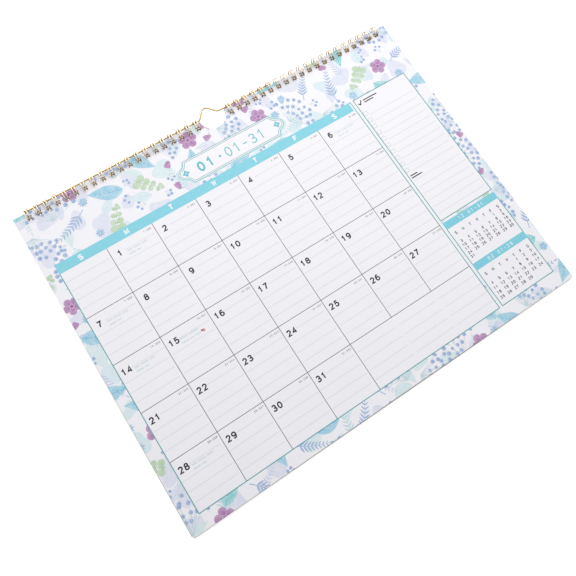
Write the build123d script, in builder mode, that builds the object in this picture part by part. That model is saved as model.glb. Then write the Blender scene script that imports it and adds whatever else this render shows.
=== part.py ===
"""Wall calendar bound on twin-loop wire, with a wire hanger.

Sizes are in millimetres. The calendar lies on its back as on a table: X runs along the
bound edge, Y points from the foot of the page to the bound edge, and Z points up out of
the printed page. The binding wires touch the table at Z = 0.
"""
import os
from math import asin, atan2, ceil, cos, degrees, floor, hypot, pi, radians, sin, sqrt, tan

from build123d import *

# Leaves and backing board
PAGE_WIDTH = 381.0
PAGE_HEIGHT = 292.1
BLOCK_THICKNESS = 1.7
TOP_LEAF_THICKNESS = 0.15
TOP_LEAF_SETBACK = 1.2
BOARD_THICKNESS = 0.7
BOARD_GAP = 0.1
NOTCH_DIAMETER = 25.4

# Punched holes
HOLE_SIZE = 4.2
HOLE_CLEARANCE = 0.25
HOLE_WEB = 1.5

# Twin-loop binding wires
LOOP_PITCH = 25.4 / 3
END_MARGIN = 10.0
WIRE_DIAMETER = 0.9
WIRE_SIDES = 6
LOOP_FACETS = 10
SEAM_ANGLE = 20.0
AXIS_INSET = 2.3
AXIS_ABOVE_PAGE = 0.45
STACK_CLEARANCE = 0.35

# Wire hanger
HANGER_DIAMETER = 1.3
HANGER_EDGE_GAP = 0.2
HANGER_BELOW_AXIS = 0.2
HANGER_CLEARANCE = 0.25
HANGER_END_OVERHANG = 1.2
HANGER_RIGHT_LOOPS = 6
HUMP_WIDTH = 18.5
HUMP_HEIGHT = 8.3
HUMP_TOP_RADIUS = 4.0
HUMP_FOOT_RADIUS = 3.5
HUMP_OFFSET = -2.6

# Loop places along the bound edge: an even row with its middle places left out for the notch
wire_radius = WIRE_DIAMETER / 2
all_places = floor((PAGE_WIDTH - 2 * END_MARGIN) / LOOP_PITCH) + 1
notch_span = NOTCH_DIAMETER + HOLE_SIZE + 2 * HOLE_WEB
notch_places = ceil(notch_span / LOOP_PITCH) - 1
loops_per_wire = (all_places - notch_places) // 2
first_loop_x = (notch_places + 1) / 2 * LOOP_PITCH
loop_offsets = [first_loop_x + i * LOOP_PITCH for i in range(loops_per_wire)]
right_loops = loop_offsets
left_loops = [-x for x in reversed(loop_offsets)]

# Heights seen from the axis of the loops
board_bottom = -(AXIS_ABOVE_PAGE + BLOCK_THICKNESS + BOARD_GAP + BOARD_THICKNESS)
board_top = board_bottom + BOARD_THICKNESS
block_bottom = board_top + BOARD_GAP

# Loop size: it clears the lower corner of the stack and holds the hanger outside the leaves
hanger_radius = HANGER_DIAMETER / 2
hanger_from_edge = hanger_radius + HANGER_EDGE_GAP
hanger_reach = hypot(AXIS_INSET + hanger_from_edge, HANGER_BELOW_AXIS) + hanger_radius
loop_inner_radius = max(
    hypot(AXIS_INSET, board_bottom) + STACK_CLEARANCE,
    hanger_reach + HANGER_CLEARANCE,
)
loop_radius = loop_inner_radius + wire_radius
facet_angle = radians(360 - SEAM_ANGLE) / LOOP_FACETS
loop_corner_radius = loop_radius / sqrt(cos(facet_angle / 2))
axis_z = loop_corner_radius + wire_radius

# Places along Y, with the origin midway between the foot of the page and the hanger's top
hump_tip = hanger_from_edge + HUMP_HEIGHT + hanger_radius
foot_y = -(PAGE_HEIGHT + hump_tip) / 2
bound_y = foot_y + PAGE_HEIGHT
axis_y = bound_y - AXIS_INSET
hanger_y = bound_y + hanger_from_edge
hanger_z = axis_z - HANGER_BELOW_AXIS

# Holes: the far side clears the wire where it enters the top leaf
wire_entry = sqrt(loop_corner_radius**2 - AXIS_ABOVE_PAGE**2) + wire_radius
hole_y = axis_y - wire_entry - HOLE_CLEARANCE + HOLE_SIZE / 2
finger_spacing = HOLE_SIZE - 2 * HOLE_CLEARANCE - WIRE_DIAMETER


def punched_sheet():
    """The outline that the leaves and the board share, with its notch and its holes."""
    with BuildSketch() as outline:
        with Locations((0, (foot_y + bound_y) / 2)):
            Rectangle(PAGE_WIDTH, PAGE_HEIGHT)
        with Locations((0, bound_y)):
            Circle(NOTCH_DIAMETER / 2, mode=Mode.SUBTRACT)
        with Locations(*[(x, hole_y) for x in left_loops + right_loops]):
            Rectangle(HOLE_SIZE, HOLE_SIZE, mode=Mode.SUBTRACT)
    return outline.sketch


def loop_point(x, step):
    """A corner of one loop, counted from the spine under the stack and round over the top."""
    angle = step * facet_angle - pi / 2
    return (
        x,
        axis_y + loop_corner_radius * cos(angle),
        axis_z + loop_corner_radius * sin(angle),
    )


def twin_loop():
    """One pitch of binding wire: spine, loop up and over to the tip, loop back, spine."""
    half_finger = finger_spacing / 2
    outward = [loop_point(-half_finger, step) for step in range(LOOP_FACETS + 1)]
    homeward = [loop_point(half_finger, step) for step in reversed(range(LOOP_FACETS + 1))]
    spine_start = loop_point(-LOOP_PITCH / 2, 0)
    spine_end = loop_point(LOOP_PITCH / 2, 0)
    with BuildPart() as loop:
        with BuildLine() as route:
            Polyline(spine_start, *outward, *homeward, spine_end)
        with BuildSketch(Plane(origin=spine_start, x_dir=(0, 0, 1), z_dir=(1, 0, 0))):
            RegularPolygon(wire_radius, WIRE_SIDES)
        sweep(path=route.line, transition=Transition.RIGHT)
    return loop.part


leaf_outline = punched_sheet()
wire_loop = twin_loop()

# Block of leaves, with the top leaf set back at the right edge
with BuildPart() as page_block:
    with BuildSketch(Plane.XY.offset(axis_z + block_bottom)):
        add(leaf_outline)
    extrude(amount=BLOCK_THICKNESS)
    with BuildSketch(Plane.XY.offset(axis_z - AXIS_ABOVE_PAGE)):
        with Locations((PAGE_WIDTH / 2, (foot_y + bound_y) / 2)):
            Rectangle(2 * TOP_LEAF_SETBACK, PAGE_HEIGHT)
    extrude(amount=-TOP_LEAF_THICKNESS, mode=Mode.SUBTRACT)
page_block.part.label = "page_block"

# Backing board
with BuildPart() as backing_board:
    with BuildSketch(Plane.XY.offset(axis_z + board_bottom)):
        add(leaf_outline)
    extrude(amount=BOARD_THICKNESS)
backing_board.part.label = "backing_board"

# Binding wires, one on each side of the notch
with BuildPart() as left_binding_wire:
    with Locations(*[(x, 0, 0) for x in left_loops]):
        add(wire_loop)
left_binding_wire.part.label = "left_binding_wire"

with BuildPart() as right_binding_wire:
    with Locations(*[(x, 0, 0) for x in right_loops]):
        add(wire_loop)
right_binding_wire.part.label = "right_binding_wire"

# Hanger: two straight arms inside the loops, and a hump over the notch to hang it by
hump_half = HUMP_WIDTH / 2
crown_centre = HUMP_HEIGHT - HUMP_TOP_RADIUS
flank_slope = atan2(crown_centre, hump_half) + asin(HUMP_TOP_RADIUS / hypot(hump_half, crown_centre))
foot_tangent = HUMP_FOOT_RADIUS * tan(flank_slope / 2)
crown_tangent = HUMP_TOP_RADIUS * tan(flank_slope)
flank_length = hump_half / cos(flank_slope) - foot_tangent - crown_tangent
flank_degrees = degrees(flank_slope)
left_end_x = left_loops[0] - finger_spacing / 2 - HANGER_END_OVERHANG
right_end_x = right_loops[HANGER_RIGHT_LOOPS - 1] + finger_spacing / 2 + HANGER_END_OVERHANG

with BuildPart() as hanger_wire:
    with BuildLine(Plane((0, hanger_y, hanger_z))) as hanger_route:
        left_arm = Line((left_end_x, 0), (HUMP_OFFSET - hump_half - foot_tangent, 0))
        left_foot = JernArc(left_arm @ 1, left_arm % 1, HUMP_FOOT_RADIUS, flank_degrees)
        left_flank = PolarLine(left_foot @ 1, flank_length, direction=left_foot % 1)
        crown = JernArc(left_flank @ 1, left_flank % 1, HUMP_TOP_RADIUS, -2 * flank_degrees)
        right_flank = PolarLine(crown @ 1, flank_length, direction=crown % 1)
        right_foot = JernArc(right_flank @ 1, right_flank % 1, HUMP_FOOT_RADIUS, flank_degrees)
        Line(right_foot @ 1, (right_end_x, 0))
    with BuildSketch(Plane(origin=hanger_route.line @ 0, z_dir=hanger_route.line % 0)):
        Circle(hanger_radius)
    sweep(path=hanger_route.line)
hanger_wire.part.label = "hanger_wire"

os.makedirs("parts", exist_ok=True)
export_step(page_block.part, "parts/page_block.step")
export_step(backing_board.part, "parts/backing_board.step")
export_step(left_binding_wire.part, "parts/left_binding_wire.step")
export_step(right_binding_wire.part, "parts/right_binding_wire.step")
export_step(hanger_wire.part, "parts/hanger_wire.step")
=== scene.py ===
"""Looks of a wall calendar: a printed leaf, grey board, gold binding wires and a wire hanger.

The frame's lengths are metres. The print is laid out in millimetres on the page, from its upper
left corner: x runs right along the bound edge, and y runs down to the foot of the page.
"""
from math import cos, hypot, pi, radians, sin, tau
from random import Random

import bpy
import numpy as np
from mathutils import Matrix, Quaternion, Vector
from mathutils.geometry import delaunay_2d_cdt, tessellate_polygon


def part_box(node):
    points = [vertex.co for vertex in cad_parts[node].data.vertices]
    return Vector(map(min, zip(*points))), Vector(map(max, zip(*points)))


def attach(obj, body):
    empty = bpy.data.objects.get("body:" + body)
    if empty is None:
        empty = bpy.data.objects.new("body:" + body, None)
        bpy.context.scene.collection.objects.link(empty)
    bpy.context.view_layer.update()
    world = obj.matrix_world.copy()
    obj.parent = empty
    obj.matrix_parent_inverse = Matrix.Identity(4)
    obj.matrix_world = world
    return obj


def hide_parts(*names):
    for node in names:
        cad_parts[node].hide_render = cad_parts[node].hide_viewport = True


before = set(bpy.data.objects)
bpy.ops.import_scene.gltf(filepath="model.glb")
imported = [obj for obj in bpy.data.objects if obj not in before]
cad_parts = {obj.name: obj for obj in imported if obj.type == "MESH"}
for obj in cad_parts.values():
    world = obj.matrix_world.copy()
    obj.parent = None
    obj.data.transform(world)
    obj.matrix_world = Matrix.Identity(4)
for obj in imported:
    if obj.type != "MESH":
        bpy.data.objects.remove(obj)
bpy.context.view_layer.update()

MM = 0.001

# The page and the board as the frame gives them
page_low, page_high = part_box("page_block")
board_low, board_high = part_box("backing_board")
PAGE_WIDTH = (page_high.x - page_low.x) / MM
PAGE_HEIGHT = (page_high.y - page_low.y) / MM
BLOCK_THICKNESS = (page_high.z - page_low.z) / MM
BOARD_THICKNESS = (board_high.z - board_low.z) / MM
PAGE_TOP = page_high.z

# Leaves: the top one stands back at its right edge, and the others swing out at the foot. Each
# takes a share of its pitch as paper, with air below it
LEAVES = 11
LEAF_SHARE = 0.86
TOP_LEAF_SETBACK = 1.2
FIRST_SWING = 1.3
LAST_SWING = 1.9
PRINT_LIFT = 0.03

# Backing board: how far its foot swings out and drops, and its wear
BOARD_SWING = 2.25
BOARD_LEFT_DROP = 0.45
BOARD_RIGHT_DROP = 1.4
BOARD_CORNER_WEAR = 2.0
BOARD_EDGE_WEAR = 0.12

# Holes and notch along the bound edge
LOOP_PITCH = 25.4 / 3
LOOPS_PER_SIDE = 20
FIRST_LOOP_X = 2 * LOOP_PITCH
HOLE_SIZE = 4.2
HOLE_INSET = 5.521
NOTCH_RADIUS = 12.7

# Binding loops, round an axis near the bound edge
AXIS_INSET = 2.3
AXIS_ABOVE_PAGE = 0.45
LOOP_RADIUS = 4.5407
WIRE_DIAMETER = 0.9
WIRE_SIDES = 10
FINGER_SPACING = 2.4
FINGER_STEPS = 26
SEAM_ANGLE = 20.0
SPINE_BEND = 2.0

# Month grid
GRID_LEFT = 10.4
GRID_TOP = 61.3
COLUMN_WIDTH = 42.3
ROW_HEIGHT = 43.7
COLUMNS = 7
ROWS = 5
BAND_HEIGHT = 9.0
BAND_END_GAP = 2.2
DAYS = 31
YEAR_DAYS = 366
FIRST_DAY_COLUMN = 1
SPLIT_COLUMNS_IN_LAST_ROW = 4

# One day's cell, from its upper left corner or its right edge
LINES_PER_CELL = 5
RULING_START = 1.6
RULING_START_BY_DATE = 12.5
RULING_END = 1.2
DATE_PLACE = (7.3, 9.2)
COUNT_FROM_RIGHT = 6.0
COUNT_FROM_TOP = 3.0

# Faint bars in some cells: where each row starts, and the lengths of its bars
SHORT_NOTE = ((13.5, 10.6, (4.5, 6.5, 5.0)), (13.5, 14.0, (6.0, 3.5)))
LONG_NOTE = ((12.5, 9.9, (7.0, 8.5)), (12.5, 13.6, (6.5, 3.0, 5.0)))
NOTES = {1: SHORT_NOTE, 6: SHORT_NOTE, 7: SHORT_NOTE, 14: SHORT_NOTE, 15: LONG_NOTE, 28: SHORT_NOTE}
BAR_HEIGHT = 1.4
BAR_GAP = 1.2

# Dots in some cells: place, radius, sides and ink
DOTS = {15: ((32.4, 13.3, 1.3, 16, "coral"), (31.0, 12.8, 0.8, 12, "navy"))}

# Side column: a list box above two small months
SIDE_LEFT = 309.1
SIDE_RIGHT = 367.9
SIDE_TOP = 52.0
SIDE_BOX_FOOT = 190.0
SIDE_MARGIN = 2.6
LIST_FIRST_LINE = 71.9
LIST_LINE_PITCH = 7.3
LIST_LINE_START = 6.2
LIST_LINES = 10
NOTE_FIRST_LINE = 146.4
NOTE_LINES = 6
CHECK_BOX_SIZE = 3.6
CHECK_BOX_START = 1.3
CHECK_BOX_LIFT = 0.9
GAP_PRINT = 26.0

# The tick in the list box, and the dark bars in place of its two headings
TICK_DROP = 7.4
TICK = ((0, -1.8), (1.5, 0), (4.4, -3.9))
LIST_HEADING = (8.8, 4.6, (15.0, 10.0))
NOTE_HEADING = (2.4, -5.4, (7.5, 11.0))
HEADING_PITCH = 2.3
HEADING_BAR = 1.0

# Small months: the title, days, first day's column and row pitch of each
SMALL_MONTH_TOPS = (192.4, 236.1)
SMALL_MONTHS = (("12 01-31", 31, 5, 4.07), ("02 01-29", 29, 4, 4.87))
SMALL_BAND_HEIGHT = 6.8
SMALL_COLUMN_PITCH = 7.95
SMALL_HEAD_DROP = 6.3
SMALL_FIRST_ROW_DROP = 4.4

# Title plate, with what stands on it measured from its centre
PLATE_CENTRE = (189.2, 37.0)
PLATE_HALF_LENGTH = 53.4
PLATE_HALF_HEIGHT = 11.2
PLATE_HOLLOW = 6.2
PLATE_HOLLOW_FROM_END = 2.6
PLATE_NOSE = 4.4
PLATE_GLOW_RIM = 1.6
PLATE_GLOW_DROP = 0.8
PLATE_RINGS = ((0.0, "frame_line"), (0.5, "paper"), (1.5, "frame_line"), (1.95, "paper"))
TITLE_DROP = 0.6
TITLE_MONTH_X = -27.5
TITLE_DOT_X = -13.0
TITLE_DOT_RADIUS = 1.1
TITLE_DAYS_X = 12.5
TITLE_FLOWER_X = 46.6

# Kinds of lettering: height, line weight, ink, and width and advance as shares of the height
WEEKDAY_LETTER = (5.2, 1.15, "white", 0.8)
DATE_FIGURE = (5.7, 1.12, "figure_ink", 0.7, 0.86)
COUNT_FIGURE = (1.7, 0.3, "small_grey")
SMALL_TITLE_FIGURE = (3.3, 0.45, "white", 0.66, 1.1)
SMALL_HEAD_LETTER = (3.0, 0.58, "small_head", 0.74)
SMALL_DATE_FIGURE = (2.75, 0.52, "small_figure")
TITLE_BOLD_FIGURE = (9.8, 1.8, "title_ink", 0.66, 0.92)
TITLE_THIN_FIGURE = (9.8, 1.0, "title_ink", 0.6, 0.86)

# Line weights
FRAME_LINE = 0.75
CELL_LINE = 0.5
RULING_LINE = 0.34
RULING_DASH = 0.62
RULING_PITCH = 1.0
TICK_LINE = 1.0
CHECK_BOX_LINE = 0.32

# Border: how far motifs may stand past the page, how much their sizes vary, and what hides one
BORDER_SEED = 11
BLEED = 4.0
SIZE_RANGE = (0.9, 1.08)
HIDDEN_SHARE = 0.8

# Tones on a scale up to 255, in pairs where a surface varies between two
PAPER_FACE = ((246, 245, 250), (248, 247, 252))
PAPER_FIBRE = (241, 240, 246)
# The cut sides' greyer pair is painted shade
PAPER_SIDE_PAINTED_SHADE = ((208, 205, 204), (240, 238, 237))
BOARD_FACE = ((169, 164, 156), (178, 173, 165))
BOARD_FLECK = (120, 113, 104)
# The gold pairs are a painted highlight tone and a painted shade tone
BINDING_GOLD_HIGHLIGHT_AND_SHADE = ((250, 230, 200), (158, 132, 100))
HANGER_GOLD_HIGHLIGHT_AND_SHADE = ((192, 160, 90), (100, 82, 44))

# Where the gold turns from painted highlight to painted shade, in millimetres from the loops' wire or
# axis
LOOP_HIGHLIGHT_TO_SHADE = (0.38, -0.02)
HOLE_ENTRY_SHADE = (-3.6, -4.5)
HANGER_HIGHLIGHT_TO_SHADE = (0.42, 0.1)

# Floor and light
FLOOR_HALF = 3.0
FLOOR_TONE = 0.86
FLOOR_GLOW = 0.56
SOFT_LIGHT = 0.507
LAMP_PLACE = (0.2, 0.5, 0.8)
LAMP_AIM = (0.05, 0.05, 0)
LAMP_SIZE = 0.9
LAMP_POWER = 6.3

# Camera: where it stands and what it looks at, in millimetres from the middle of the page
CAMERA_PLACE = (-114.24, -93.57, 437.11)
CAMERA_AIM = (-28.40, -23.01, 0.0)
CAMERA_ROLL = 18.072
LENS = 33.817
SENSOR = 36.0

leaf_pitch = BLOCK_THICKNESS / LEAVES
axis_y = page_high.y - AXIS_INSET * MM
axis_height = PAGE_TOP + AXIS_ABOVE_PAGE * MM
grid_right = GRID_LEFT + COLUMNS * COLUMN_WIDTH
grid_foot = GRID_TOP + ROWS * ROW_HEIGHT
loop_places = [
    side * (FIRST_LOOP_X + i * LOOP_PITCH) for side in (-1, 1) for i in range(LOOPS_PER_SIDE)
]


def on_page(x, y, above=0.0):
    """A place on the page or above it, in the frame's metres."""
    return Vector((page_low.x + x * MM, page_high.y - y * MM, PAGE_TOP + above * MM))


# Outlines, in millimetres


def turned(points, x, y, angle):
    """Points of a shape turned by an angle and set at a place."""
    c, s = cos(angle), sin(angle)
    return [(x + c * u - s * v, y + s * u + c * v) for u, v in points]


def rectangle(left, top, right, foot):
    return [(left, top), (right, top), (right, foot), (left, foot)]


def circle(x, y, radius, steps=20):
    return [(x + radius * cos(tau * i / steps), y + radius * sin(tau * i / steps)) for i in range(steps)]


def arc(x, y, across, along, start, end, steps=9):
    """Points on part of an ellipse, from one angle to another in degrees."""
    angles = [radians(start + (end - start) * i / steps) for i in range(steps + 1)]
    return [(x + across * cos(a), y + along * sin(a)) for a in angles]


def leaf(length, width, steps=12):
    """A pointed leaf that grows along x from its stalk at the origin."""
    spans = [i / steps for i in range(1, steps)]
    upper = [(length * t, width / 2 * sin(pi * t**0.75)) for t in spans]
    lower = [(x, -y) for x, y in reversed(upper)]
    return [(0, 0)] + upper + [(length, 0)] + lower


def square(x, y, size):
    half = size / 2
    return rectangle(x - half, y - half, x + half, y + half)


def shifted(points, swing, left_drop, right_drop):
    """Points of a sheet whose foot has swung to the left and dropped at its two corners."""
    moved = []
    for x, y in points:
        share = y / PAGE_HEIGHT
        drop = left_drop + (right_drop - left_drop) * x / PAGE_WIDTH
        moved.append((x - swing * share, y + drop * share))
    return moved


def swung(points, swing):
    """Points of a leaf that has turned a little on its binding, by its swing at the foot."""
    drop = swing * PAGE_WIDTH / 2 / PAGE_HEIGHT
    return shifted(points, swing, -drop, drop)


def sheet_edge(right):
    """The edge of a punched sheet, round its notch."""
    notch = arc(PAGE_WIDTH / 2, 0, NOTCH_RADIUS, NOTCH_RADIUS, 180, 0, 48)
    return [(0, 0)] + notch + [(right, 0), (right, PAGE_HEIGHT), (0, PAGE_HEIGHT)]


def bent(points, length, bend):
    """Points along x bowed sideways, by bend times the length at the far end."""
    return [(x, y + bend * x * x / length) for x, y in points]


class Print:
    """Coloured shapes laid on the paper in order, each covering what lies under it.

    The first two shapes are the second leaf and the top leaf, and nothing is printed past them.
    """

    def __init__(self):
        self.points = []
        self.faces = []
        self.inks = []

    def fill(self, outline, ink):
        twice_area = sum(
            a[0] * b[1] - b[0] * a[1] for a, b in zip(outline, outline[1:] + outline[:1])
        )
        start = len(self.points)
        self.points += [Vector((x, -y)) for x, y in outline]
        face = list(range(start, len(self.points)))
        self.faces.append(face if twice_area < 0 else face[::-1])
        self.inks.append(ink)

    def stroke(self, path, width, ink, closed=False, tip=1.0):
        """A line of even width, or one that narrows to a share of its width at the far end."""
        count = len(path)
        sides = []
        for i, (x, y) in enumerate(path):
            before = path[i - 1] if i or closed else path[0]
            after = path[(i + 1) % count] if i < count - 1 or closed else path[-1]
            into = Vector((x - before[0], y - before[1])).normalized()
            out = Vector((after[0] - x, after[1] - y)).normalized()
            along = (into + out).normalized()
            spread = max(along.dot(out if out.length else into), 0.5)
            reach = width / 2 / spread * (1 + (tip - 1) * i / (count - 1))
            across = (-along.y * reach, along.x * reach)
            sides.append(((x + across[0], y + across[1]), (x - across[0], y - across[1])))
        if closed:
            sides.append(sides[0])
        for (a, b), (c, d) in zip(sides, sides[1:]):
            self.fill([a, b, d, c], ink)

    def cut(self):
        """Triangles that meet at every outline, gathered by the ink on top and by the leaf below."""
        places, _, faces, _, _, _ = delaunay_2d_cdt(self.points, [], self.faces, 1, 0.0001, True)
        corners = np.array([[places[i] for i in face] for face in faces])
        middles = corners.mean(axis=1)
        order = np.argsort(middles[:, 0])
        corners = corners[order]
        middles = middles[order]
        outlines = np.array(self.points)
        top = np.full(len(middles), -1)
        for number, face in enumerate(self.faces):
            outline = outlines[face]
            first, last = np.searchsorted(middles[:, 0], (outline[:, 0].min(), outline[:, 0].max()))
            top[first:last][inside(outline, middles[first:last])] = number
        second_leaf, top_leaf = (inside(outlines[face], middles) for face in self.faces[:2])
        top[~(second_leaf | top_leaf)] = -1
        pieces = []
        for number in np.unique(top[top >= 0]):
            for leaf_number, on_leaf in enumerate((top_leaf, ~top_leaf)):
                chosen = (top == number) & on_leaf
                pieces.append((self.inks[number], leaf_number, (corners[chosen] * (1, -1)).tolist()))
        return pieces


def inside(outline, points):
    """For each point, whether it lies inside a closed outline."""
    found = np.zeros(len(points), bool)
    for (x0, y0), (x1, y1) in zip(outline, np.roll(outline, -1, axis=0)):
        level = (y0 > points[:, 1]) != (y1 > points[:, 1])
        if y0 != y1:
            found ^= level & (points[:, 0] < x0 + (points[:, 1] - y0) * (x1 - x0) / (y1 - y0))
    return found


# Figures and letters: strokes in a box one wide and one high, y up

FIGURES = {
    "0": [arc(0.5, 0.5, 0.5, 0.5, 0, 360, 20)],
    "1": [[(0.12, 0.74), (0.56, 1.0), (0.56, 0.0)]],
    "2": [arc(0.5, 0.71, 0.47, 0.29, 170, -28) + [(0.0, 0.0), (1.0, 0.0)]],
    "3": [
        arc(0.46, 0.75, 0.44, 0.25, 160, -90) + [(0.3, 0.5)],
        arc(0.48, 0.26, 0.52, 0.26, 90, -160),
    ],
    "4": [[(0.74, 0.0), (0.74, 1.0), (0.0, 0.28), (1.0, 0.28)]],
    "5": [[(0.92, 1.0), (0.16, 1.0), (0.08, 0.5)] + arc(0.48, 0.33, 0.52, 0.33, 128, -155)],
    "6": [
        arc(0.5, 0.31, 0.5, 0.31, 0, 360, 18),
        [(0.0, 0.31)] + arc(0.52, 0.5, 0.52, 0.5, 180, 50),
    ],
    "7": [[(0.0, 1.0), (1.0, 1.0), (0.56, 0.42), (0.38, 0.0)]],
    "8": [arc(0.5, 0.76, 0.42, 0.24, 0, 360, 16), arc(0.5, 0.27, 0.5, 0.27, 0, 360, 18)],
    "9": [
        arc(0.5, 0.69, 0.5, 0.31, 0, 360, 18),
        [(1.0, 0.69)] + arc(0.48, 0.5, 0.52, 0.5, 0, -130),
    ],
    "-": [[(0.1, 0.45), (0.9, 0.45)]],
    " ": [],
    "S": [arc(0.5, 0.75, 0.46, 0.25, 20, 255) + arc(0.5, 0.25, 0.5, 0.25, 75, -160)],
    "M": [[(0.0, 0.0), (0.0, 1.0), (0.5, 0.2), (1.0, 1.0), (1.0, 0.0)]],
    "T": [[(0.0, 1.0), (1.0, 1.0)], [(0.5, 1.0), (0.5, 0.0)]],
    "W": [[(0.0, 1.0), (0.25, 0.0), (0.5, 0.9), (0.75, 0.0), (1.0, 1.0)]],
    "F": [[(0.0, 0.0), (0.0, 1.0), (0.9, 1.0)], [(0.0, 0.52), (0.75, 0.52)]],
}
WEEKDAYS = "SMTWTFS"
FIGURE_WIDTH = 0.68
FIGURE_ADVANCE = 0.88


def write(sheet, text, x, y, height, weight, ink, width=FIGURE_WIDTH, advance=FIGURE_ADVANCE):
    """Figures or letters of one height, centred on a place."""
    start = x - ((len(text) - 1) * advance + width) * height / 2
    for i, character in enumerate(text):
        left = start + i * advance * height + weight / 2
        foot = y + height / 2 - weight / 2
        for path in FIGURES[character]:
            closed = hypot(path[0][0] - path[-1][0], path[0][1] - path[-1][1]) < 0.001
            across = width * height - weight
            points = [(left + u * across, foot - v * (height - weight)) for u, v in path]
            sheet.stroke(points[:-1] if closed else points, weight, ink, closed)


# Flower motifs of the border, with most lengths as shares of a motif's reach


def blossom(sheet, x, y, turn, reach, chance):
    """A five-petalled bloom with veined petals and a dotted middle."""
    rim = []
    for i in range(60):
        angle = tau * i / 60
        out = reach * (0.66 + 0.34 * abs(cos(2.5 * angle)) ** 0.6)
        rim.append((out * cos(angle), out * sin(angle)))
    sheet.fill(turned(rim, x, y, turn), "mauve")
    for petal in range(5):
        for lean in (-0.22, 0.0, 0.22):
            angle = tau * petal / 5 + lean
            far = 0.88 if lean == 0.0 else 0.76
            vein = [(reach * t * cos(angle), reach * t * sin(angle)) for t in (0.3, 0.55, far)]
            sheet.stroke(turned(vein, x, y, turn), 0.42, "mauve_vein", tip=0.3)
    sheet.fill(circle(x, y, 0.15 * reach, 14), "mauve_vein")
    for i in range(8):
        angle = tau * i / 8 + turn
        dot = (x + 0.27 * reach * cos(angle), y + 0.27 * reach * sin(angle))
        sheet.fill(circle(*dot, 0.32, 8), "pale_pink")


def bud(sheet, x, y, turn, reach, chance):
    """A closed bud held by two small sepals."""
    angles = [tau * i / 22 for i in range(22)]
    drop = [(reach * (0.9 * cos(a) - 0.25 * cos(2 * a)), reach * 0.72 * sin(a)) for a in angles]
    for side in (-1, 1):
        sepal = turned(leaf(1.1 * reach, 0.5 * reach, 8), -1.2 * reach, 0, side * 0.42)
        sheet.fill(turned(sepal, x, y, turn), "leaf_green")
    sheet.fill(turned(drop, x, y, turn), "mauve")
    fold = [(-0.6 * reach, 0.05 * reach), (0.0, 0.16 * reach), (0.55 * reach, 0.0)]
    sheet.stroke(turned(fold, x, y, turn), 0.4, "mauve_vein", tip=0.4)


def seed_head(sheet, x, y, turn, reach, chance):
    """A head of berries on fine stalks that spread like a fan."""
    base = (x - 0.8 * reach * cos(turn), y - 0.8 * reach * sin(turn))
    for share, count, spread in ((0.72, 4, 1.3), (1.17, 7, 2.0), (1.6, 10, 2.3)):
        for i in range(count):
            angle = turn + spread * (i / (count - 1) - 0.5) + chance.uniform(-0.05, 0.05)
            out = reach * share * chance.uniform(0.94, 1.06)
            tip = (base[0] + out * cos(angle), base[1] + out * sin(angle))
            sheet.stroke([base, tip], 0.3, "stalk")
            draw_berry(sheet, *tip, chance.uniform(1.5, 2.0))


def draw_berry(sheet, x, y, radius):
    sheet.fill(circle(x, y, radius, 16), "periwinkle")
    sheet.fill(circle(x + 0.3, y + 0.25, 0.36 * radius, 8), "periwinkle_deep")


def berries(sheet, x, y, turn, reach, chance):
    """A little bunch of berries on one forked stalk."""
    foot = (x - 0.8 * reach * cos(turn), y - 0.8 * reach * sin(turn))
    for lean in (-0.55, 0.0, 0.55):
        out = reach * (1.5 if lean == 0.0 else 1.2)
        tip = (foot[0] + out * cos(turn + lean), foot[1] + out * sin(turn + lean))
        sheet.stroke([foot, tip], 0.34, "stalk")
        draw_berry(sheet, *tip, chance.uniform(1.2, 1.5))


def frond(sheet, x, y, turn, reach, chance, ink="periwinkle", stem=0.8):
    """A bowed frond with slim leaflets in pairs that shorten towards the tip."""
    length = 2.3 * reach
    bend = chance.choice((-0.22, 0.22))
    rib = bent([(length * t / 10, 0) for t in range(11)], length, bend)
    middle = (length / 2, bend * length / 4)
    rib = [(u - middle[0], v - middle[1]) for u, v in rib]
    sheet.stroke(turned(rib, x, y, turn), stem, ink, tip=0.35)
    for i in range(2, 10):
        slope = 2 * bend * i / 10
        size = reach * 0.62 * (1 - 0.07 * i)
        for side in (-1, 1):
            leaflet = turned(leaf(size, 0.26 * size, 8), *rib[i], slope + side * 0.85)
            sheet.fill(turned(leaflet, x, y, turn), ink)
    sheet.fill(turned(turned(leaf(0.3 * reach, 0.1 * reach, 8), *rib[-1], 2 * bend), x, y, turn), ink)


def broad_leaf(sheet, x, y, turn, reach, chance):
    """A broad veined leaf."""
    length = 2.3 * reach
    bend = chance.choice((-0.16, 0.16))
    middle = (length / 2, bend * length / 4)
    ink, vein = chance.choice((("aqua", "aqua_vein"), ("sky", "sky_vein")))
    shape = bent(leaf(length, 1.05 * reach, 16), length, bend)
    shape = [(u - middle[0], v - middle[1]) for u, v in shape]
    sheet.fill(turned(shape, x, y, turn), ink)
    rib = bent([(length * t / 8, 0) for t in range(9)], length, bend)
    rib = [(u - middle[0], v - middle[1]) for u, v in rib]
    sheet.stroke(turned(rib, x, y, turn), 0.5, vein, tip=0.4)
    for i in range(1, 7):
        width = 0.45 * reach * sin(pi * ((i + 1.0) / 8) ** 0.75)
        u, v = rib[i]
        for side in (-1, 1):
            branch = ((0, 0), (0.5, 0.42), (1.1, 0.8))
            side_rib = [(u + a * width, v + side * b * width) for a, b in branch]
            sheet.stroke(turned(side_rib, x, y, turn), 0.36, vein, tip=0.4)


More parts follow.
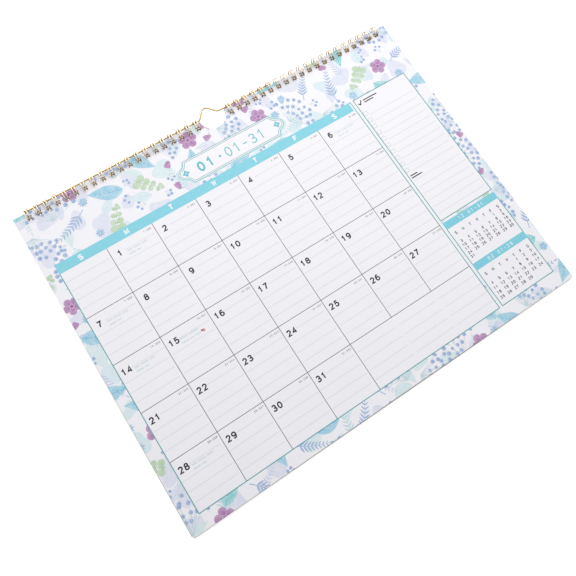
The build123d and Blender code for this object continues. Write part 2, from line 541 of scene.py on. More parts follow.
def round_sprig(sheet, x, y, turn, reach, chance):
    """A stem with round leaves in pairs."""
    length = 2.1 * reach
    bend = chance.choice((-0.2, 0.2))
    stem = [(u - length / 2, v) for u, v in bent([(length * t / 8, 0) for t in range(9)], length, bend)]
    sheet.stroke(turned(stem, x, y, turn), 0.5, "leaf_green_deep", tip=0.5)
    for i in range(1, 8, 2):
        size = reach * (0.3 - 0.02 * i)
        u, v = stem[i]
        for side in (-1, 1):
            disc = circle(0, 0, size, 18)
            disc = [(u + 0.35 * size + a, v + side * 1.05 * size + 1.1 * b) for a, b in disc]
            sheet.fill(turned(disc, x, y, turn), "leaf_green")
            crease = [(u + a * size, v + side * b * size) for a, b in ((0, 0), (0.3, 1.0), (0.4, 1.7))]
            sheet.stroke(turned(crease, x, y, turn), 0.3, "leaf_green_deep", tip=0.3)
    sheet.fill(turned(circle(*stem[-1], 0.16 * reach, 14), x, y, turn), "leaf_green")


def daisy(sheet, x, y, turn, reach, chance):
    """A daisy with slim petals round a button."""
    for i in range(10):
        petal = turned(leaf(0.95 * reach, 0.42 * reach, 9), 0, 0, tau * i / 10)
        sheet.fill(turned(petal, x, y, turn), "sky" if i % 2 else "periwinkle")
    sheet.fill(circle(x, y, 0.27 * reach, 16), "sky_vein")
    sheet.fill(circle(x, y, 0.15 * reach, 12), "pale_pink")


def pale_frond(sheet, x, y, turn, reach, chance):
    frond(sheet, x, y, turn, reach, chance, chance.choice(("mint_deep", "lavender_deep")), 1.0)


def pale_leaf(sheet, x, y, turn, reach, chance):
    """A faint leaf with only its middle rib."""
    ink, vein = chance.choice((("mint", "mint_deep"), ("lavender", "lavender_deep")))
    shape = [(u - reach, v) for u, v in leaf(2 * reach, 0.9 * reach, 14)]
    sheet.fill(turned(shape, x, y, turn), ink)
    sheet.stroke(turned([(-reach, 0), (0, 0), (0.8 * reach, 0)], x, y, turn), 0.5, vein, tip=0.4)


def wash(sheet, x, y, turn, reach, chance):
    """A faint pool of colour with a wavy rim."""
    first = chance.uniform(0, tau)
    second = chance.uniform(0, tau)
    rim = []
    for i in range(36):
        angle = tau * i / 36
        out = reach * (0.85 + 0.12 * sin(2 * angle + first) + 0.1 * sin(3 * angle + second))
        rim.append((out * cos(angle), 0.8 * out * sin(angle)))
    sheet.fill(turned(rim, x, y, turn), chance.choice(("mint", "lavender", "lavender")))


PANELS = (
    (GRID_LEFT, GRID_TOP - BAND_HEIGHT, grid_right, grid_foot),
    (SIDE_LEFT, SIDE_TOP, SIDE_RIGHT, SIDE_BOX_FOOT),
    (SIDE_LEFT, SMALL_MONTH_TOPS[0], SIDE_RIGHT, grid_foot),
)


def hidden(x, y, reach):
    """True where a panel covers everything within reach."""
    return any(
        left < x - reach and x + reach < right and top < y - reach and y + reach < foot
        for left, top, right, foot in PANELS
    )


def scatter(sheet, chance, motifs, tries, gap, taken):
    """Sets motifs one after another where each has most room, until none has its gap."""
    turn = 0
    while True:
        motif, reach = motifs[turn % len(motifs)]
        best = None
        for _ in range(tries):
            x = chance.uniform(-BLEED, PAGE_WIDTH + BLEED)
            y = chance.uniform(-BLEED, PAGE_HEIGHT + BLEED)
            if hidden(x, y, HIDDEN_SHARE * reach):
                continue
            room = min((hypot(x - a, y - b) - c for a, b, c in taken), default=PAGE_WIDTH) - reach
            if best is None or room > best[0]:
                best = (room, x, y)
        if best is None or best[0] < gap:
            return
        taken.append((best[1], best[2], reach))
        angle = chance.uniform(0, tau)
        motif(sheet, best[1], best[2], angle, reach * chance.uniform(*SIZE_RANGE), chance)
        turn += 1


def draw_border(sheet):
    """Flowers, fronds and leaves all round the page, over faint pools of colour."""
    chance = Random(BORDER_SEED)
    washes = [(wash, 11.0), (wash, 8.0), (wash, 9.0)]
    pale = [(pale_frond, 13.0), (pale_leaf, 9.5)]
    large = [
        (seed_head, 13.5),
        (broad_leaf, 13.5),
        (blossom, 8.2),
        (frond, 13.5),
        (seed_head, 12.0),
        (broad_leaf, 12.5),
        (round_sprig, 11.5),
    ]
    small = [(berries, 5.0), (bud, 3.9), (berries, 4.2), (daisy, 4.8)]
    scatter(sheet, chance, washes, tries=60, gap=-2.5, taken=[])
    scatter(sheet, chance, pale, tries=60, gap=-4.0, taken=[])
    taken = []
    scatter(sheet, chance, large, tries=320, gap=-3.2, taken=taken)
    scatter(sheet, chance, small, tries=320, gap=-1.1, taken=taken)


# Panels, lines and figures


def framed_panel(sheet, left, top, right, foot):
    """A paper panel inside a thin coloured line."""
    sheet.fill(rectangle(left, top, right, foot), "frame_line")
    inset = FRAME_LINE
    sheet.fill(rectangle(left + inset, top + inset, right - inset, foot - inset), "paper")


def dotted_line(sheet, left, right, y):
    count = int((right - left) / RULING_PITCH)
    for i in range(count):
        x = left + i * RULING_PITCH
        sheet.fill(rectangle(x, y - RULING_LINE / 2, x + RULING_DASH, y + RULING_LINE / 2), "ruling")


def faint_words(sheet, x, y, lengths):
    """A row of short faint bars in place of words."""
    half = BAR_HEIGHT / 2
    for length in lengths:
        sheet.fill(rectangle(x, y - half, x + length, y + half), "faint_teal")
        x += length + BAR_GAP


def heading_bars(sheet, x, y, lengths):
    """Short dark bars, one under another, in place of a heading."""
    half = HEADING_BAR / 2
    for i, length in enumerate(lengths):
        middle = y + HEADING_PITCH * i
        sheet.fill(rectangle(x, middle - half, x + length, middle + half), "figure_ink")


def draw_grid(sheet):
    """The month grid: weekday band, cells, ruled lines and dates."""
    framed_panel(sheet, GRID_LEFT, GRID_TOP - BAND_HEIGHT, grid_right, grid_foot)
    band_right = grid_right - BAND_END_GAP
    sheet.fill(rectangle(GRID_LEFT, GRID_TOP - BAND_HEIGHT, band_right, GRID_TOP), "band")
    for column, letter in enumerate(WEEKDAYS):
        middle = GRID_LEFT + (column + 0.5) * COLUMN_WIDTH
        write(sheet, letter, middle, GRID_TOP - BAND_HEIGHT / 2, *WEEKDAY_LETTER)
    for row in range(ROWS):
        for column in range(COLUMNS):
            draw_cell(sheet, row, column)
    half = CELL_LINE / 2
    for row in range(1, ROWS):
        y = GRID_TOP + row * ROW_HEIGHT
        line = rectangle(GRID_LEFT + FRAME_LINE, y - half, grid_right - FRAME_LINE, y + half)
        sheet.fill(line, "cell_line")
    for column in range(1, COLUMNS):
        x = GRID_LEFT + column * COLUMN_WIDTH
        rows = ROWS if column <= SPLIT_COLUMNS_IN_LAST_ROW else ROWS - 1
        foot = GRID_TOP + rows * ROW_HEIGHT - (FRAME_LINE if rows == ROWS else 0)
        sheet.fill(rectangle(x - half, GRID_TOP, x + half, foot), "cell_line")


def draw_cell(sheet, row, column):
    """One day: its ruled lines, its date and the small day count in the corner."""
    left = GRID_LEFT + column * COLUMN_WIDTH
    top = GRID_TOP + row * ROW_HEIGHT
    day = row * COLUMNS + column + 1 - FIRST_DAY_COLUMN
    dated = 1 <= day <= DAYS
    end = left + COLUMN_WIDTH - RULING_END
    for line in range(1, LINES_PER_CELL):
        start = left + (RULING_START_BY_DATE if dated and line == 1 else RULING_START)
        dotted_line(sheet, start, end, top + line * ROW_HEIGHT / LINES_PER_CELL)
    if dated:
        write(sheet, str(day), left + DATE_PLACE[0], top + DATE_PLACE[1], *DATE_FIGURE)
        count = f"{day}-{YEAR_DAYS - day}"
        count_x = left + COLUMN_WIDTH - COUNT_FROM_RIGHT
        write(sheet, count, count_x, top + COUNT_FROM_TOP, *COUNT_FIGURE)
    for x, y, lengths in NOTES.get(day, ()):
        faint_words(sheet, left + x, top + y, lengths)
    for x, y, radius, sides, ink in DOTS.get(day, ()):
        sheet.fill(circle(left + x, top + y, radius, sides), ink)


def draw_side_column(sheet):
    """The list box with its check boxes and lines, and the two small months."""
    sheet.fill(rectangle(grid_right, GRID_TOP - BAND_HEIGHT, SIDE_LEFT, grid_foot - GAP_PRINT), "paper")
    framed_panel(sheet, SIDE_LEFT, SIDE_TOP, SIDE_RIGHT, SIDE_BOX_FOOT)
    sheet.stroke(
        [(SIDE_LEFT + SIDE_MARGIN + x, SIDE_TOP + TICK_DROP + y) for x, y in TICK],
        TICK_LINE,
        "figure_ink",
    )
    x, drop, lengths = LIST_HEADING
    heading_bars(sheet, SIDE_LEFT + x, SIDE_TOP + drop, lengths)
    line_end = SIDE_RIGHT - SIDE_MARGIN
    box_left = SIDE_LEFT + CHECK_BOX_START
    for i in range(LIST_LINES):
        y = LIST_FIRST_LINE + i * LIST_LINE_PITCH
        dotted_line(sheet, SIDE_LEFT + LIST_LINE_START, line_end, y)
        box_top = y - CHECK_BOX_SIZE - CHECK_BOX_LIFT
        box = rectangle(box_left, box_top, box_left + CHECK_BOX_SIZE, y - CHECK_BOX_LIFT)
        sheet.stroke(box, CHECK_BOX_LINE, "check_box", closed=True)
    x, drop, lengths = NOTE_HEADING
    heading_bars(sheet, SIDE_LEFT + x, NOTE_FIRST_LINE + drop, lengths)
    for i in range(NOTE_LINES):
        dotted_line(sheet, SIDE_LEFT + SIDE_MARGIN, line_end, NOTE_FIRST_LINE + i * LIST_LINE_PITCH)
    framed_panel(sheet, SIDE_LEFT, SMALL_MONTH_TOPS[0], SIDE_RIGHT, grid_foot)
    for top, month in zip(SMALL_MONTH_TOPS, SMALL_MONTHS):
        draw_small_month(sheet, top, *month)


def draw_small_month(sheet, top, title, days, first_column, row_pitch):
    """A small month: its band of numbers, the weekday letters and the days."""
    sheet.fill(rectangle(SIDE_LEFT, top, SIDE_RIGHT, top + SMALL_BAND_HEIGHT), "small_band")
    middle = (SIDE_LEFT + SIDE_RIGHT) / 2
    write(sheet, title, middle, top + SMALL_BAND_HEIGHT / 2, *SMALL_TITLE_FIGURE)
    first_x = middle - COLUMNS // 2 * SMALL_COLUMN_PITCH
    head_y = top + SMALL_BAND_HEIGHT + SMALL_HEAD_DROP
    for column, letter in enumerate(WEEKDAYS):
        write(sheet, letter, first_x + column * SMALL_COLUMN_PITCH, head_y, *SMALL_HEAD_LETTER)
    for day in range(1, days + 1):
        row, column = divmod(day - 1 + first_column, COLUMNS)
        x = first_x + column * SMALL_COLUMN_PITCH
        y = head_y + SMALL_FIRST_ROW_DROP + row * row_pitch
        write(sheet, str(day), x, y, *SMALL_DATE_FIGURE)


def plate_outline(inset):
    """A label with hollowed corners and rounded ends."""
    half_length = PLATE_HALF_LENGTH - inset
    half_height = PLATE_HALF_HEIGHT - inset
    hollow = PLATE_HOLLOW + inset
    corner_x = PLATE_HALF_LENGTH - PLATE_HOLLOW_FROM_END
    quarter = arc(corner_x, -PLATE_HALF_HEIGHT, hollow, hollow, 180, 97, 8)
    quarter = [(x, min(max(y, -half_height), 0)) for x, y in quarter]
    nose = PLATE_NOSE - 0.6 * inset
    quarter += arc(half_length - nose, 0, nose, nose, -52, 0, 6)
    half = quarter + [(x, -y) for x, y in reversed(quarter[:-1])]
    outline = half + [(-x, y) for x, y in reversed(half)]
    return [(PLATE_CENTRE[0] + x, PLATE_CENTRE[1] + y) for x, y in outline]


def draw_title(sheet):
    """The title plate: a double line round plain numbers, with a small flower at each end."""
    sheet.fill([(x, y + PLATE_GLOW_DROP) for x, y in plate_outline(-PLATE_GLOW_RIM)], "plate_glow")
    for inset, ink in PLATE_RINGS:
        sheet.fill(plate_outline(inset), ink)
    x, y = PLATE_CENTRE
    line_y = y + TITLE_DROP
    write(sheet, "01", x + TITLE_MONTH_X, line_y, *TITLE_BOLD_FIGURE)
    sheet.fill(circle(x + TITLE_DOT_X, line_y, TITLE_DOT_RADIUS, 16), "title_ink")
    write(sheet, "01-31", x + TITLE_DAYS_X, line_y, *TITLE_THIN_FIGURE)
    for side in (-1, 1):
        middle = x + side * TITLE_FLOWER_X
        for petal in range(4):
            sheet.fill(turned(leaf(3.4, 2.6, 8), middle, y, petal * pi / 2), "title_ink")
        sheet.fill(circle(middle, y, 1.0, 12), "paper")
        sheet.fill(circle(middle, y, 0.6, 10), "title_ink")


def draw_page():
    """Everything printed on the page, with the notch and the punched holes cut out last."""
    sheet = Print()
    sheet.fill(swung(rectangle(0, 0, PAGE_WIDTH, PAGE_HEIGHT), FIRST_SWING), "paper")
    sheet.fill(rectangle(0, 0, PAGE_WIDTH - TOP_LEAF_SETBACK, PAGE_HEIGHT), "paper")
    draw_border(sheet)
    draw_title(sheet)
    draw_grid(sheet)
    draw_side_column(sheet)
    for x in loop_places:
        sheet.fill(square(PAGE_WIDTH / 2 + x, HOLE_INSET, HOLE_SIZE), "open")
    sheet.fill(circle(PAGE_WIDTH / 2, 0, NOTCH_RADIUS, 72), "open")
    return sheet


# Materials


def linear(tone):
    """A screen colour of three numbers up to 255, as the linear colour that shaders take."""
    shares = [value / 255 for value in tone]
    return [s / 12.92 if s <= 0.04045 else ((s + 0.055) / 1.055) ** 2.4 for s in shares] + [1.0]


def node(tree, kind, inputs=None, **settings):
    """Adds a node. Each input is a value, or the socket that feeds it."""
    made = tree.nodes.new("ShaderNode" + kind)
    for name, value in settings.items():
        setattr(made, name, value)
    for name, value in (inputs or {}).items():
        if isinstance(value, bpy.types.NodeSocket):
            tree.links.new(value, made.inputs[name])
        else:
            made.inputs[name].default_value = value
    return made


def new_material(name):
    """An empty node material, with its object coordinates and its shader wired to the output."""
    material = bpy.data.materials.new(name)
    material.use_nodes = True
    tree = material.node_tree
    tree.nodes.clear()
    place = node(tree, "TexCoord")
    shader = node(tree, "BsdfPrincipled")
    node(tree, "OutputMaterial", {"Surface": shader.outputs["BSDF"]})
    return material, tree, place.outputs["Object"], shader


def spots(tree, place, size, detail=2.0):
    """Smooth noise whose spots are about one size across."""
    return node(tree, "TexNoise", {"Vector": place, "Scale": 1 / size, "Detail": detail}).outputs["Fac"]


def between(tree, value, low, high, start=0.3, end=0.7):
    """A noise value stretched to run from low to high."""
    inputs = {"Value": value, "From Min": start, "From Max": end, "To Min": low, "To Max": high}
    return node(tree, "MapRange", inputs).outputs["Result"]


def blend_of(tree, share, first, second):
    """A colour between two, by a share."""
    return node(tree, "MixRGB", {"Fac": share, "Color1": first, "Color2": second}).outputs["Color"]


def paper_finish(tree, place, shader, rough):
    """The tooth of uncoated paper: a fine bump and an uneven sheen."""
    tooth = spots(tree, place, 0.35 * MM, 4.0)
    bump = node(tree, "Bump", {"Height": tooth, "Strength": 0.35, "Distance": 0.03 * MM})
    tree.links.new(bump.outputs["Normal"], shader.inputs["Normal"])
    uneven = between(tree, spots(tree, place, 6 * MM), rough - 0.05, rough + 0.05)
    tree.links.new(uneven, shader.inputs["Roughness"])
    shader.inputs["Specular IOR Level"].default_value = 0.3


def ink_material(name, tone, wash_share=0.0, mottle=0.04):
    """A printed colour. Its strength drifts as a washed-on colour does, with a fine mottle."""
    material, tree, place, shader = new_material(name)
    full = linear(tone)
    thin = linear([value + (250 - value) * wash_share for value in tone])
    drift = between(tree, spots(tree, place, 5 * MM, 3.0), 0, 1)
    colour = blend_of(tree, drift, full, thin)
    dark = linear([value * (1 - mottle) for value in tone])
    fine = between(tree, spots(tree, place, 0.9 * MM, 3.0), 0, 0.35)
    tree.links.new(blend_of(tree, fine, colour, dark), shader.inputs["Base Color"])
    paper_finish(tree, place, shader, 0.55)
    return material


def paper_material():
    """White paper: faint clouding on the face, and a greyer tone painted on the cut sides as shade."""
    material, tree, place, shader = new_material("leaf_paper")
    cloud = between(tree, spots(tree, place, 40 * MM, 3.0), 0, 1)
    face = blend_of(tree, cloud, *map(linear, PAPER_FACE))
    fibre = between(tree, spots(tree, place, 0.5 * MM, 5.0), 0, 0.3)
    face = blend_of(tree, fibre, face, linear(PAPER_FIBRE))
    # Painted shade: the cut sides take greyer tones, mixed by fine noise, and faces that stand upright
    # get them in place of the face tone
    fray = between(tree, spots(tree, place, 1.4 * MM, 4.0), 0, 1)
    side = blend_of(tree, fray, *map(linear, PAPER_SIDE_PAINTED_SHADE))
    facing = node(tree, "SeparateXYZ", {"Vector": node(tree, "TexCoord").outputs["Normal"]})
    upright = node(tree, "Math", {0: facing.outputs["Z"]}, operation="ABSOLUTE")
    flat = between(tree, upright.outputs["Value"], 0, 1, 0.3, 0.6)
    tree.links.new(blend_of(tree, flat, side, face), shader.inputs["Base Color"])
    paper_finish(tree, place, shader, 0.6)
    return material


def board_material():
    """Grey board: pressed fibres with dark and light flecks."""
    material, tree, place, shader = new_material("grey_board")
    cloud = between(tree, spots(tree, place, 9 * MM, 4.0), 0, 1)
    colour = blend_of(tree, cloud, *map(linear, BOARD_FACE))
    flecks = between(tree, spots(tree, place, 0.7 * MM, 6.0), 0, 0.8, 0.55, 0.75)
    colour = blend_of(tree, flecks, colour, linear(BOARD_FLECK))
    tree.links.new(colour, shader.inputs["Base Color"])
    tooth = spots(tree, place, 0.6 * MM, 5.0)
    bump = node(tree, "Bump", {"Height": tooth, "Strength": 0.6, "Distance": 0.08 * MM})
    tree.links.new(bump.outputs["Normal"], shader.inputs["Normal"])
    tree.links.new(between(tree, cloud, 0.85, 0.75, 0, 1), shader.inputs["Roughness"])
    return material


def binding_depth(tree, place):
    """How much painted shade the gold takes in place of its painted highlight: most on the inside of the
    loops and where they enter the holes.
    """
    centre = (0, axis_y, axis_height)
    from_axis = node(tree, "VectorMath", {0: place, 1: centre}, operation="SUBTRACT").outputs["Vector"]
    upright = node(tree, "VectorMath", {0: from_axis, 1: (0, 1, 1)}, operation="MULTIPLY")
    reach = node(tree, "VectorMath", {0: upright.outputs["Vector"]}, operation="LENGTH")
    # Painted highlight on the outside of each loop, turning to painted shade on its inside
    painted_highlight, painted_shade = ((LOOP_RADIUS + out) * MM for out in LOOP_HIGHLIGHT_TO_SHADE)
    inner_painted_shade = between(tree, reach.outputs["Value"], 0, 1, painted_highlight, painted_shade)
    # Painted shade where the loops turn down into the holes
    across = node(tree, "SeparateXYZ", {"Vector": from_axis}).outputs["Y"]
    painted_highlight, painted_shade = (y * MM for y in HOLE_ENTRY_SHADE)
    entry_painted_shade = between(tree, across, 0, 1, painted_highlight, painted_shade)
    return node(tree, "Math", {0: inner_painted_shade, 1: entry_painted_shade}, operation="MAXIMUM").outputs["Value"]


def hanger_depth(tree, place):
    """How much painted shade the gold takes: least along the top of the wire, where a painted highlight
    runs.
    """
    height = node(tree, "SeparateXYZ", {"Vector": place}).outputs["Z"]
    # Painted highlight along the top of the hanger wire, painted shade down its sides
    painted_highlight, painted_shade = (axis_height + z * MM for z in HANGER_HIGHLIGHT_TO_SHADE)
    return between(tree, height, 0, 1, painted_highlight, painted_shade)


def gold_material(name, tones, shade_share, rough):
    """Gold plated wire in a painted highlight tone and a painted shade tone, with small worn places in
    the shade tone.
    """
    material, tree, place, shader = new_material(name)
    # The two tones are a painted highlight and a painted shade, mixed by the shade share
    painted_highlight, painted_shade = map(linear, tones)
    colour = blend_of(tree, shade_share(tree, place), painted_highlight, painted_shade)
    worn = between(tree, spots(tree, place, 1.6 * MM, 4.0), 0, 0.35, 0.45, 0.7)
    colour = blend_of(tree, worn, colour, painted_shade)
    tree.links.new(colour, shader.inputs["Base Color"])
    shader.inputs["Metallic"].default_value = 1.0
    uneven = between(tree, spots(tree, place, 0.8 * MM, 4.0), rough - 0.06, rough + 0.08)
    tree.links.new(uneven, shader.inputs["Roughness"])
    grain = spots(tree, place, 0.5 * MM, 3.0)
    bump = node(tree, "Bump", {"Height": grain, "Strength": 0.2, "Distance": 0.02 * MM})
    tree.links.new(bump.outputs["Normal"], shader.inputs["Normal"])
    return material


# Print colours: the tone, and how far it thins to white from place to place
INKS = {
    "mint": ((218, 236, 241), 0.4),
    "mint_deep": ((200, 226, 234), 0.3),
    "lavender": ((225, 228, 244), 0.4),
    "lavender_deep": ((208, 214, 238), 0.3),
    "periwinkle": ((162, 185, 222), 0.3),
    "periwinkle_deep": ((130, 156, 206), 0.2),
    "mauve": ((186, 138, 186), 0.3),
    "mauve_vein": ((146, 92, 150), 0.2),
    "pale_pink": ((240, 222, 240), 0.2),
    "aqua": ((154, 214, 220), 0.45),
    "aqua_vein": ((108, 186, 195), 0.2),
    "sky": ((160, 209, 230), 0.45),
    "sky_vein": ((118, 184, 218), 0.2),
    "leaf_green": ((188, 214, 182), 0.45),
    "leaf_green_deep": ((140, 184, 138), 0.2),
    "stalk": ((192, 216, 226), 0.2),
    "plate_glow": ((196, 234, 242), 0.4),
    "band": ((136, 214, 230), 0.06),
    "small_band": ((130, 209, 226), 0.06),
    "frame_line": ((86, 164, 166), 0.1),
    "title_ink": ((100, 192, 206), 0.08),
    "cell_line": ((92, 92, 98), 0.1),
    "ruling": ((196, 198, 206), 0.1),
    "figure_ink": ((32, 32, 38), 0.02),
    "small_figure": ((70, 70, 78), 0.05),
    "small_head": ((100, 100, 108), 0.05),
    "small_grey": ((140, 140, 148), 0.1),
    "faint_teal": ((222, 232, 236), 0.1),
    "check_box": ((196, 198, 206), 0.1),
    "white": ((250, 250, 252), 0.0),
    "coral": ((226, 140, 136), 0.1),
    "navy": ((84, 84, 132), 0.1),
}


# Meshes


def add_mesh(name, points, faces, material, smooth=False):
    mesh = bpy.data.meshes.new(name)
    mesh.from_pydata(points, [], faces)
    mesh.materials.append(material)
    mesh.polygons.foreach_set("use_smooth", [smooth] * len(faces))
    mesh.update()
    piece = bpy.data.objects.new(name, mesh)
    bpy.context.scene.collection.objects.link(piece)
    return piece


def add_print():
    """One thin skin of print for each ink, on the top leaf and on the edge of the leaf below it."""
    by_ink = {}
    for ink, leaf_number, triangles in draw_page().cut():
        if ink in ("paper", "open"):
            continue
        above = PRINT_LIFT - leaf_number * leaf_pitch
        index, faces = by_ink.setdefault(ink, ({}, []))
        for corners in triangles:
            keys = [(round(x, 5), round(y, 5), above) for x, y in corners]
            faces.append([index.setdefault(key, len(index)) for key in keys])
    for ink, (index, faces) in by_ink.items():
        tone, wash_share = INKS[ink]
        points = [on_page(*key) for key in index]
        piece = add_mesh("print_" + ink, points, faces, ink_material("print_" + ink, tone, wash_share))
        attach(piece, "pages")


def sheet_mesh(edge, top, thickness):
    """Points and faces of one punched sheet, whose top lies at a height."""
    rings = [edge]
    rings += [square(PAGE_WIDTH / 2 + x, HOLE_INSET, HOLE_SIZE)[::-1] for x in loop_places]
    flat = [point for ring in rings for point in ring]
    count = len(flat)
    points = [on_page(x, y, top) for x, y in flat] + [on_page(x, y, top - thickness) for x, y in flat]
    faces = []
    for corners in tessellate_polygon([[Vector((x, -y, 0)) for x, y in ring] for ring in rings]):
        a, b, c = (flat[i] for i in corners)
        clockwise = (b[0] - a[0]) * (c[1] - a[1]) > (b[1] - a[1]) * (c[0] - a[0])
        upper = corners[::-1] if clockwise else corners
        faces.append(tuple(upper))
        faces.append(tuple(i + count for i in reversed(upper)))
    start = 0
    for ring in rings:
        for i in range(len(ring)):
            a = start + i
            b = start + (i + 1) % len(ring)
            faces.append((a, b, b + count, a + count))
        start += len(ring)
    return points, faces


def add_leaves(material):
    """The leaves one by one, each a thin sheet with air between it and the next."""
    points = []
    faces = []
    for number in range(LEAVES):
        swing = FIRST_SWING + (LAST_SWING - FIRST_SWING) * (number - 1) / (LEAVES - 2) if number else 0.0
        right = PAGE_WIDTH if number else PAGE_WIDTH - TOP_LEAF_SETBACK
        thickness = leaf_pitch * (LEAF_SHARE if number < LEAVES - 1 else 1.0)
        edge = swung(sheet_edge(right), swing)
        more_points, more_faces = sheet_mesh(edge, -number * leaf_pitch, thickness)
        faces += [tuple(i + len(points) for i in face) for face in more_faces]
        points += more_points
    piece = add_mesh("leaves", points, faces, material)
    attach(piece, "pages")
    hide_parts("page_block")


def add_board(material):
    """The backing board, a little past the leaves at the foot and worn off at its left corner."""
    top = (board_high.z - page_high.z) / MM
    worn_corner = [(BOARD_CORNER_WEAR, PAGE_HEIGHT), (0, PAGE_HEIGHT - BOARD_CORNER_WEAR)]
    edge = sheet_edge(PAGE_WIDTH)[:-1] + worn_corner
    edge = shifted(edge, BOARD_SWING, BOARD_LEFT_DROP, BOARD_RIGHT_DROP)
    points, faces = sheet_mesh(edge, top, BOARD_THICKNESS)
    piece = add_mesh("board", points, faces, material)
    bevel = piece.modifiers.new("worn edges", "BEVEL")
    bevel.width = BOARD_EDGE_WEAR * MM
    bevel.segments = 2
    bevel.angle_limit = radians(60)
    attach(piece, "binding")
    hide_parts("backing_board")


def tube(path, radius, sides):
    """Points and faces of a round wire along a path, closed at both ends."""
    points = []
    faces = []
    across = Vector((0, 0, 1)) if abs((path[1] - path[0]).normalized().z) < 0.9 else Vector((1, 0, 0))
    for i, place in enumerate(path):
        along = (path[min(i + 1, len(path) - 1)] - path[max(i - 1, 0)]).normalized()
        across = (across - along * across.dot(along)).normalized()
        other = along.cross(across)
        for k in range(sides):
            turn = tau * k / sides
            points.append(place + radius * (cos(turn) * across + sin(turn) * other))
    for i in range(len(path) - 1):
        for k in range(sides):
            a = i * sides + k
            b = i * sides + (k + 1) % sides
            faces.append((a, b, b + sides, a + sides))
    faces.append(tuple(reversed(range(sides))))
    faces.append(tuple(range(len(points) - sides, len(points))))
    return points, faces


def loop_route(places):
    """The wire before it is rolled up: along its spine, and out and back for each loop."""
    half_finger = FINGER_SPACING / 2
    reach = radians(360 - SEAM_ANGLE) * LOOP_RADIUS
    straight = reach - half_finger - SPINE_BEND
    route = [(places[0] - LOOP_PITCH / 2, 0.0)]
    for x in places:
        rise = arc(x - half_finger - SPINE_BEND, SPINE_BEND, SPINE_BEND, SPINE_BEND, -90, 0, 5)
        steps = range(1, FINGER_STEPS)
        run = [(x - half_finger, SPINE_BEND + straight * i / FINGER_STEPS) for i in steps]
        half = rise + run
        tip = arc(x, reach - half_finger, half_finger, half_finger, 180, 0, 8)
        route += half + tip + [(2 * x - u, v) for u, v in reversed(half)]
    route.append((places[-1] + LOOP_PITCH / 2, 0.0))
    return route


def rolled(u, v):
    """A point of the flat wire, rolled round the loops' axis from the spine under the board."""
    angle = v / LOOP_RADIUS - pi / 2
    y = -AXIS_INSET + LOOP_RADIUS * cos(angle)
    z = AXIS_ABOVE_PAGE + LOOP_RADIUS * sin(angle)
    return Vector((u * MM, page_high.y + y * MM, PAGE_TOP + z * MM))


def add_binding_wires(material):
    for name, sign in (("left_binding_wire", -1), ("right_binding_wire", 1)):
        places = sorted(x for x in loop_places if x * sign > 0)
        path = [rolled(u, v) for u, v in loop_route(places)]
        wire = tube(path, WIRE_DIAMETER / 2 * MM, WIRE_SIDES)
        piece = add_mesh(name + "_round", *wire, material, smooth=True)
        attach(piece, "binding")
        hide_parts(name)


def dress(node_name, material):
    """Gives a CAD node its material."""
    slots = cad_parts[node_name].material_slots
    for slot in slots:
        slot.material = material


# Floor, lights and camera


def seen_directly(tree):
    """One where the camera looks, also by way of a gloss or through something clear."""
    path = node(tree, "LightPath")
    seen = path.outputs["Is Camera Ray"]
    for ray in ("Is Glossy Ray", "Is Transmission Ray"):
        seen = node(tree, "Math", {0: seen, 1: path.outputs[ray]}, operation="MAXIMUM").outputs["Value"]
    return seen


def add_floor():
    """A plain pale floor that looks white to the camera and keeps the shadow."""
    half = FLOOR_HALF
    corners = [(x, y, 0) for x, y in rectangle(-half, -half, half, half)]
    material = bpy.data.materials.new("floor")
    material.use_nodes = True
    tree = material.node_tree
    tree.nodes.clear()
    matt = node(tree, "BsdfDiffuse", {"Color": (FLOOR_TONE, FLOOR_TONE, FLOOR_TONE, 1)})
    lift = node(tree, "Math", {0: seen_directly(tree), 1: FLOOR_GLOW}, operation="MULTIPLY")
    glow = node(tree, "Emission", {"Strength": lift.outputs["Value"]})
    both = node(tree, "AddShader", {0: matt.outputs["BSDF"], 1: glow.outputs["Emission"]})
    node(tree, "OutputMaterial", {"Surface": both.outputs["Shader"]})
    add_mesh("floor", corners, [(0, 1, 2, 3)], material)


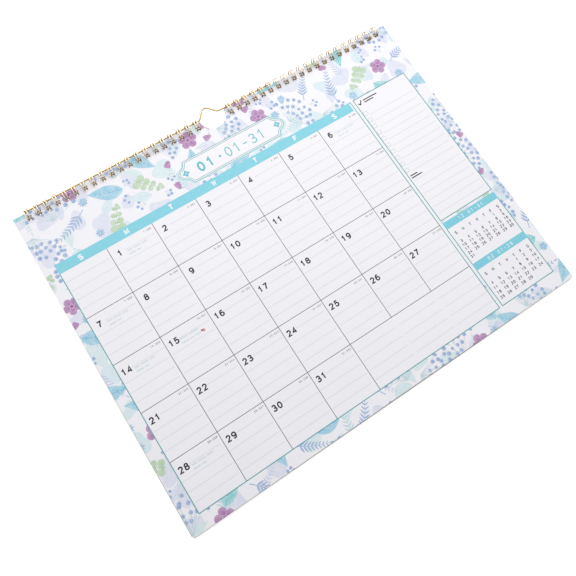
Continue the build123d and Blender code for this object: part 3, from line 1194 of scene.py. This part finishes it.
def add_world():
    """Even light from all round, and white where the camera or a gloss looks at it."""
    world = bpy.data.worlds.new("studio")
    bpy.context.scene.world = world
    world.use_nodes = True
    tree = world.node_tree
    tree.nodes.clear()
    soft = node(tree, "Background", {"Color": (1, 1, 1, 1), "Strength": SOFT_LIGHT})
    white = node(tree, "Background", {"Color": (1, 1, 1, 1), "Strength": 1.0})
    mixed = node(
        tree,
        "MixShader",
        {0: seen_directly(tree), 1: soft.outputs["Background"], 2: white.outputs["Background"]},
    )
    node(tree, "OutputWorld", {"Surface": mixed.outputs["Shader"]})


def add_lamp():
    lamp = bpy.data.lights.new("key", "AREA")
    lamp.shape = "RECTANGLE"
    lamp.size = LAMP_SIZE
    lamp.size_y = LAMP_SIZE
    lamp.energy = LAMP_POWER
    holder = bpy.data.objects.new("key", lamp)
    holder.location = LAMP_PLACE
    holder.rotation_mode = "QUATERNION"
    holder.rotation_quaternion = (Vector(LAMP_AIM) - Vector(LAMP_PLACE)).to_track_quat("-Z", "Y")
    bpy.context.scene.collection.objects.link(holder)


def add_camera():
    middle = Vector((0, (page_low.y + page_high.y) / 2, PAGE_TOP))
    place = middle + Vector(CAMERA_PLACE) * MM
    aim = middle + Vector(CAMERA_AIM) * MM
    lens = bpy.data.cameras.new("camera")
    lens.lens = LENS
    lens.sensor_width = SENSOR
    camera = bpy.data.objects.new("camera", lens)
    camera.location = place
    camera.rotation_mode = "QUATERNION"
    level = (aim - place).to_track_quat("-Z", "Y")
    camera.rotation_quaternion = level @ Quaternion((0, 0, 1), radians(CAMERA_ROLL))
    bpy.context.scene.collection.objects.link(camera)
    bpy.context.scene.camera = camera


add_camera()
add_world()
add_floor()
add_lamp()

add_leaves(paper_material())
add_board(board_material())
add_binding_wires(gold_material("binding_gold", BINDING_GOLD_HIGHLIGHT_AND_SHADE, binding_depth, 0.34))
dress("hanger_wire", gold_material("hanger_gold", HANGER_GOLD_HIGHLIGHT_AND_SHADE, hanger_depth, 0.36))
add_print()

bpy.context.scene.view_settings.view_transform = "Standard"
